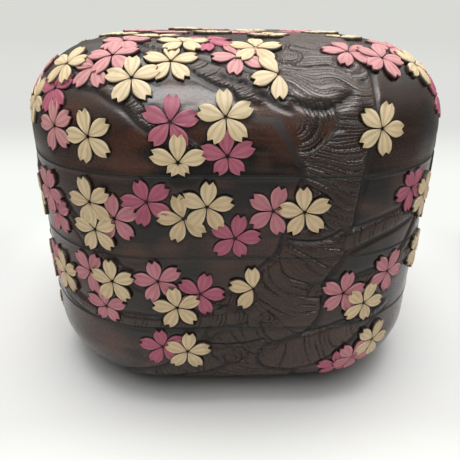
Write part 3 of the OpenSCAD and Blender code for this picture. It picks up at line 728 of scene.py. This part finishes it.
# Carved wood under brushed dark lacquer: painted shade makes the cuts, grooves, seams and wells round the petals
# black, a painted sheen pales the bark over the shoulder, satin brown where it is rubbed thin
def carvedLacquer():
    material, tree, surface = newMaterial("brushedLacquerOnCarvedWood")

    def value(name):
        return addNode(tree, "ShaderNodeAttribute", {"attribute_name": name}).outputs["Fac"]

    def calc(operation, first, second=0.0, third=0.0):
        return addNode(tree, "ShaderNodeMath", {"operation": operation}, i0=first, i1=second, i2=third).outputs[0]

    barked, phase, gouge, groove = (value(key) for key in ("bark", "phase", "gouge", "groove"))
    well, rubbed, height = (value(key) for key in ("well", "worn", "height"))
    cloud = addNode(tree, "ShaderNodeTexNoise", i0=objectCoords(tree), Scale=perMm(lacquer["cloudSize"]), Detail=3.0)
    worn = addNode(tree, "ShaderNodeTexNoise", i0=objectCoords(tree, (1, 1, 4)), Scale=perMm(lacquer["wornSize"]),
                   Detail=2.0, Roughness=0.5)
    stretch = lacquer["grainLength"] / lacquer["grainWidth"]
    grain = addNode(tree, "ShaderNodeTexNoise", i0=objectCoords(tree, (1, 1, stretch)),
                    Scale=perMm(lacquer["grainLength"]), Detail=6.0, Roughness=0.65, Distortion=0.3)
    speck = addNode(tree, "ShaderNodeTexNoise", i0=objectCoords(tree), Scale=perMm(lacquer["speckSize"]), Detail=2.0)
    ragged = calc("MULTIPLY_ADD", speck.outputs[0], 0.3, calc("ADD", phase, -0.15))
    wave = calc("ABSOLUTE", calc("SINE", calc("MULTIPLY", ragged, math.pi)))
    cut = calc("MULTIPLY", calc("MULTIPLY", remap(tree, wave, 0.75, 0.0), gouge), barked)
    fineWave = calc("ABSOLUTE", calc("SINE", calc("MULTIPLY", ragged, math.pi * 2.6)))
    high = addNode(tree, "ShaderNodeSeparateXYZ", i0=objectCoords(tree)).outputs[2]
    fineShare = remap(tree, high, lacquer["fineFrom"] * mm, lacquer["fineTo"] * mm, 0.35, 1.0)
    fine = calc("MULTIPLY", calc("MULTIPLY", remap(tree, fineWave, 0.6, 0.0), barked), fineShare)
    colour = blendColours(tree, remap(tree, cloud.outputs[0], 0.42, 0.66), linear(lacquer["dark"]),
                          linear(lacquer["brown"]))
    colour = blendColours(tree, calc("MULTIPLY", barked, 0.45), colour, linear(lacquer["ridge"]))
    # painted sheen: the bark blends towards pale over the shoulder and top, where the light from above falls
    shoulder = remap(tree, high, lacquer["sheenFrom"] * mm, lacquer["sheenTo"] * mm, 0, 0.5)
    colour = blendColours(tree, calc("MULTIPLY", barked, shoulder), colour, linear(lacquer["pale"]))
    patchy = calc("MULTIPLY_ADD", rubbed, 0.28, worn.outputs[0])
    patchy = calc("MULTIPLY_ADD", height, -0.06, patchy)  # the hollows of the bark keep more of it
    bare = blendColours(tree, barked, linear(lacquer["worn"]), linear(lacquer["recess"]))
    colour = blendColours(tree, remap(tree, patchy, 0.55, 0.83, 0, 0.9), colour, bare)
    streak = remap(tree, grain.outputs[0], 0.3, 0.7, 0.75, 1.15)
    colour = blendColours(tree, 1.0, colour, streak, "MULTIPLY")
    # painted shade: the cuts between ridges, the fine lines, the V cuts, the seams and the wells round the petals are
    # blended towards near black
    dark = calc("MAXIMUM", cut, calc("MULTIPLY", fine, 0.7))
    dark = calc("MAXIMUM", dark, calc("MAXIMUM", groove, remap(tree, well, 0.4, 1.0, 0, 0.75)))
    colour = blendColours(tree, dark, colour, linear(lacquer["cut"]))
    tree.links.new(colour, surface.inputs["Base Color"])
    rough = remap(tree, speck.outputs[0], 0.3, 0.7, lacquer["roughness"] - 0.05, lacquer["roughness"] + 0.08)
    rough = calc("MULTIPLY_ADD", barked, lacquer["barkRoughness"] - lacquer["roughness"], rough)
    tree.links.new(calc("MULTIPLY_ADD", groove, lacquer["grooveRoughness"], rough), surface.inputs["Roughness"])
    ridges = addNode(tree, "ShaderNodeBump", {"invert": True}, Strength=0.8, Distance=0.6 * mm, Height=cut)
    lines = addNode(tree, "ShaderNodeBump", {"invert": True}, Strength=0.8, Distance=0.26 * mm, Height=fine,
                    Normal=ridges.outputs[0])
    bump = addNode(tree, "ShaderNodeBump", Strength=0.4, Distance=0.1 * mm, Height=grain.outputs[0],
                   Normal=lines.outputs[0])
    pores = addNode(tree, "ShaderNodeBump", Strength=0.25, Distance=0.04 * mm, Height=speck.outputs[0],
                    Normal=bump.outputs[0])
    tree.links.new(pores.outputs[0], surface.inputs["Normal"])
    surface.inputs["Specular IOR Level"].default_value = lacquer["specular"]
    return material


inside = {"colour": "#231a1a", "deep": "#171112", "size": 30, "roughness": 0.32}


# Plain brushed lacquer inside: smooth satin, with faint brush marks
def plainLacquer():
    material, tree, surface = newMaterial("brushedLacquerPlain")
    cloud = addNode(tree, "ShaderNodeTexNoise", i0=objectCoords(tree, (1, 1, 6)), Scale=perMm(inside["size"]), Detail=4.0)
    tree.links.new(blendColours(tree, remap(tree, cloud.outputs[0], 0.35, 0.65), linear(inside["deep"]),
                                linear(inside["colour"])), surface.inputs["Base Color"])
    tree.links.new(remap(tree, cloud.outputs[0], 0.3, 0.7, inside["roughness"] - 0.04, inside["roughness"] + 0.06),
                   surface.inputs["Roughness"])
    bump = addNode(tree, "ShaderNodeBump", Strength=0.3, Distance=0.05 * mm, Height=cloud.outputs[0])
    tree.links.new(bump.outputs[0], surface.inputs["Normal"])
    return material


paints = {
    # litTop is each petal colour as the painted light on the lid shows it
    "cream": {"name": "creamLacquerOnWood", "main": "#d4bb96", "deep": "#aa8d67", "edge": "#2c1f18",
              "pale": "#e2cfaa", "litTop": "#f0dab0"},
    "pink": {"name": "pinkLacquerOnWood", "main": "#bf7882", "deep": "#985a64", "edge": "#301a1d",
             "pale": "#d4969c", "litTop": "#dda09c"},
    "rose": {"name": "roseLacquerOnWood", "main": "#b25c71", "deep": "#884156", "edge": "#281015",
             "pale": "#bd6c80", "litTop": "#c26a7e"},
}
# heights between which painted light lightens the petals towards their lid colour
paint = {"litFrom": 94, "litTo": 126, "grainLength": 7, "grainWidth": 0.55, "cloudSize": 9, "stainSize": 3.2, "roughness": 0.52}


# Coloured lacquer brushed on carved petals: nearly matt, stained in spots, with painted shade in the hollows, a
# painted highlight on the raised rims and painted light towards the lid; dark on the cut sides, partly their dark
# lacquer and partly painted shade along the outline
def petalPaint(colour):
    material, tree, surface = newMaterial(paints[colour]["name"])

    def value(name):
        return addNode(tree, "ShaderNodeAttribute", {"attribute_name": name}).outputs["Fac"]

    run, across, tone, rim, fold = (value(key) for key in ("run", "across", "tone", "rim", "fold"))
    lengthwise = addNode(tree, "ShaderNodeMath", {"operation": "MULTIPLY"}, i0=run,
                         i1=petal["length"] / paint["grainLength"]).outputs[0]
    crosswise = addNode(tree, "ShaderNodeMath", {"operation": "DIVIDE"}, i0=across, i1=paint["grainWidth"]).outputs[0]
    shifted = addNode(tree, "ShaderNodeMath", {"operation": "MULTIPLY"}, i0=tone, i1=37.0).outputs[0]
    local = addNode(tree, "ShaderNodeCombineXYZ", X=lengthwise, Y=crosswise, Z=shifted).outputs[0]
    grain = addNode(tree, "ShaderNodeTexNoise", i0=local, Scale=1.0, Detail=3.0, Roughness=0.6)
    cloud = addNode(tree, "ShaderNodeTexNoise", i0=objectCoords(tree), Scale=perMm(paint["cloudSize"]), Detail=3.0)
    stain = addNode(tree, "ShaderNodeTexNoise", i0=objectCoords(tree), Scale=perMm(paint["stainSize"]), Detail=4.0,
                    Roughness=0.7)
    colours = paints[colour]
    shade = blendColours(tree, remap(tree, grain.outputs[0], 0.4, 0.75, 0, 0.5), linear(colours["main"]),
                         linear(colours["deep"]))
    shade = blendColours(tree, remap(tree, tone, -1, 1, 0, 0.35), shade, linear(colours["pale"]))
    height = addNode(tree, "ShaderNodeSeparateXYZ", i0=objectCoords(tree)).outputs[2]
    top = remap(tree, height, paint["litFrom"] * mm, paint["litTo"] * mm, 0, 0.8)  # painted light: the petals grow lighter higher up, for the stronger light that falls on the lid
    shade = blendColours(tree, top, shade, linear(colours["litTop"]))
    shade = blendColours(tree, remap(tree, cloud.outputs[0], 0.5, 0.75, 0, 0.4), shade, linear(colours["deep"]))
    shade = blendColours(tree, remap(tree, stain.outputs[0], 0.62, 0.78, 0, 0.5), shade, linear(colours["edge"]))
    shade = blendColours(tree, remap(tree, run, 0.3, 0.05, 0, 0.5), shade, linear(colours["deep"]))
    # painted shade darkens each petal's hollows, and a painted highlight lightens its raised rims
    hollow = addNode(tree, "ShaderNodeMath", {"operation": "PINGPONG"}, i0=fold, i1=0.45).outputs[0]
    shade = blendColours(tree, remap(tree, hollow, 0.15, 0.45, 0, 0.4), shade, linear(colours["deep"]))
    shade = blendColours(tree, remap(tree, fold, 0.75, 0.95, 0, 0.6), shade, linear(colours["pale"]))
    # the sides and outline go dark: partly the dark lacquer of the cut sides, partly painted shade along the outline
    shade = blendColours(tree, remap(tree, rim, 0.3, 0.75), shade, linear(colours["edge"]))
    tree.links.new(shade, surface.inputs["Base Color"])
    tree.links.new(remap(tree, cloud.outputs[0], 0.3, 0.7, paint["roughness"] - 0.06, paint["roughness"] + 0.08),
                   surface.inputs["Roughness"])
    bump = addNode(tree, "ShaderNodeBump", Strength=0.6, Distance=0.12 * mm, Height=grain.outputs[0])
    tree.links.new(bump.outputs[0], surface.inputs["Normal"])
    surface.inputs["Specular IOR Level"].default_value = 0.3
    return material


def buildBox():
    carved, plain = carvedLacquer(), plainLacquer()
    middles = {"base": [0, shape["baseFloor"]], "middle": [], "upper": [], "lid": [topZ - shape["lidTop"], topZ]}
    for name, facts in pieces.items():
        spacing = facts["spacing"]
        if name == "base":
            section = bowlSection(spacing)
        elif name == "lid":
            section = lidSection(spacing)
        else:
            section = tierSection(facts["low"], facts["high"], spacing)
        piece = carvedShell(name, section, middles[name], spacing)
        piece.data.materials.append(carved)
        piece.data.materials.append(plain)
        outer = np.zeros(len(piece.data.vertices), np.float32)
        piece.data.attributes["carved"].data.foreach_get("value", outer)
        for face in piece.data.polygons:
            face.material_index = 0 if all(outer[v] > 0.5 for v in face.vertices) else 1
        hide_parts(facts["node"])
        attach(piece, facts["body"])
        print("carved", piece.name, len(piece.data.polygons), "faces,", round(time.time() - start), "s")
    for nodeName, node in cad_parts.items():
        if "lip_ring" in nodeName or "floor_board" in nodeName:
            node.data.materials.clear()
            node.data.materials.append(plain)


def buildPetals():
    blank = petalBlank()
    for colour in paints:
        material = petalPaint(colour)
        for name, facts in pieces.items():
            piece = petalPiece(name, colour, blank)
            piece.data.materials.append(material)
            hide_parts(name + "_blossoms_" + colour)
            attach(piece, facts["body"])
        print("petals in", colour, round(time.time() - start), "s")


# The photograph's view: place in mm, pitch down and turn to the right in radians
view = {"x": -8.484, "y": -245.767, "z": 162.055, "pitch": 0.447, "yaw": 0.03, "roll": 0.012, "lens": 36, "sensor": 36}


def setCamera():
    camera = bpy.data.cameras.new("camera")
    camera.lens, camera.sensor_width = view["lens"], view["sensor"]
    holder = bpy.data.objects.new("camera", camera)
    bpy.context.scene.collection.objects.link(holder)
    forward = Vector((math.sin(view["yaw"]) * math.cos(view["pitch"]),
                      math.cos(view["yaw"]) * math.cos(view["pitch"]), -math.sin(view["pitch"])))
    right = Vector((math.cos(view["yaw"]), -math.sin(view["yaw"]), 0))
    up = right.cross(forward)
    rolled = right * math.cos(view["roll"]) + up * math.sin(view["roll"])
    upright = up * math.cos(view["roll"]) - right * math.sin(view["roll"])
    turn = Matrix((rolled, upright, -forward)).transposed().to_4x4()
    holder.matrix_world = Matrix.Translation(Vector((view["x"], view["y"], view["z"])) * mm) @ turn
    bpy.context.scene.camera = holder


studio = {
    "front": "#f4f5f0", "near": "#e8e8e6", "litBehind": "#f9fbf6", "far": "#dfe0dd", "sky": "#d9dad5",
    "zenith": 1.7, "horizon": 0.055,  # strength of the light from above and from the sides
    "dome": 2.2, "rim": 0.3,  # what the gloss mirrors above and at the sides
    "floorGloss": 0.28,  # and how much of the floor's glow far from the box
    "lamps": [
        {"name": "topSoftbox", "at": (0, 0.06, 0.85), "width": 0.8, "depth": 0.45, "watts": 5.8, "lights": True},
        {"name": "glossPanel", "at": (0.08, -0.62, 1.0), "width": 1.2, "depth": 0.4, "watts": 19.5, "lights": False},
    ],
}


# White paper that sweeps away: it holds the shadow near the box and glows evenly further off; its colour holds painted
# light, greyer near the box, brightest just behind it and greyer far off
def floorMaterial():
    material, tree, surface = newMaterial("paperFloor")
    coords = addNode(tree, "ShaderNodeTexCoord")
    depth = addNode(tree, "ShaderNodeSeparateXYZ", i0=coords.outputs["Object"]).outputs[1]
    distance = addNode(tree, "ShaderNodeVectorMath", {"operation": "LENGTH"}, i0=coords.outputs["Object"]).outputs["Value"]
    colour = linear(studio["front"])
    # painted light: the paper's colour grades as the studio lights it, greyer near the box, brightest just behind it,
    # greyer far off
    for name, begin, end in (("near", -0.125, -0.095), ("litBehind", 0.02, 0.12), ("far", 0.2, 0.5), ("sky", 0.5, 3)):
        colour = blendColours(tree, remap(tree, depth, begin, end), colour, linear(studio[name]))
    tree.links.new(colour, surface.inputs["Base Color"])
    surface.inputs["Roughness"].default_value = 0.7
    surface.inputs["Specular IOR Level"].default_value = 0.2
    path = addNode(tree, "ShaderNodeLightPath")
    strength = addNode(tree, "ShaderNodeMath", {"operation": "MULTIPLY_ADD"}, i0=path.outputs["Is Glossy Ray"],
                       i1=remap(tree, distance, 0.25, 0.55, 0, studio["floorGloss"] - 1), i2=1.0).outputs[0]
    glow = addNode(tree, "ShaderNodeEmission", Color=colour, Strength=strength)
    seen = addNode(tree, "ShaderNodeMath", {"operation": "MAXIMUM"}, i0=path.outputs["Is Camera Ray"],
                   i1=path.outputs["Is Glossy Ray"]).outputs[0]
    share = addNode(tree, "ShaderNodeMath", {"operation": "MULTIPLY"}, i0=seen,
                    i1=remap(tree, distance, 0.09, 0.21)).outputs[0]
    mix = addNode(tree, "ShaderNodeMixShader", i0=share, i1=surface.outputs[0], i2=glow.outputs[0])
    output = next(node for node in tree.nodes if node.type == "OUTPUT_MATERIAL")
    tree.links.new(mix.outputs[0], output.inputs[0])
    return material


def buildStudio():
    bm = bmesh.new()
    bmesh.ops.create_circle(bm, cap_ends=True, segments=96, radius=6)
    floor = finishMesh(bm, "floor", 30)
    floor.data.materials.append(floorMaterial())
    for lamp in studio["lamps"]:
        light = bpy.data.lights.new(lamp["name"], "AREA")
        light.shape = "RECTANGLE"
        light.size, light.size_y, light.energy = lamp["width"], lamp["depth"], lamp["watts"]
        holder = bpy.data.objects.new(lamp["name"], light)
        holder.visible_diffuse = lamp["lights"]
        aim = Vector((0, 0, 0.07)) - Vector(lamp["at"])
        holder.matrix_world = Matrix.Translation(lamp["at"]) @ aim.to_track_quat("-Z", "Y").to_matrix().to_4x4()
        bpy.context.scene.collection.objects.link(holder)
    world = bpy.data.worlds.new("studio")
    world.use_nodes = True
    tree = world.node_tree
    tree.nodes.clear()
    path = addNode(tree, "ShaderNodeLightPath")
    way = addNode(tree, "ShaderNodeSeparateXYZ", i0=addNode(tree, "ShaderNodeTexCoord").outputs["Generated"])
    strength = remap(tree, way.outputs[2], 0.5, 1.0, studio["horizon"], studio["zenith"])
    mirrored = remap(tree, way.outputs[2], 0.1, 0.85, studio["rim"], studio["dome"])
    light = addNode(tree, "ShaderNodeBackground", Color=(1, 1, 1, 1), Strength=strength)
    gloss = addNode(tree, "ShaderNodeBackground", Color=linear(studio["sky"]), Strength=mirrored)
    backdrop = addNode(tree, "ShaderNodeBackground", Color=linear(studio["sky"]), Strength=1.0)
    mix = addNode(tree, "ShaderNodeMixShader", i0=path.outputs["Is Glossy Ray"], i1=light.outputs[0],
                  i2=gloss.outputs[0])
    mix = addNode(tree, "ShaderNodeMixShader", i0=path.outputs["Is Camera Ray"], i1=mix.outputs[0],
                  i2=backdrop.outputs[0])
    output = addNode(tree, "ShaderNodeOutputWorld")
    tree.links.new(mix.outputs[0], output.inputs[0])
    bpy.context.scene.world = world


setCamera()
buildBox()
buildPetals()
buildStudio()
bpy.context.scene.view_settings.view_transform = "Standard"
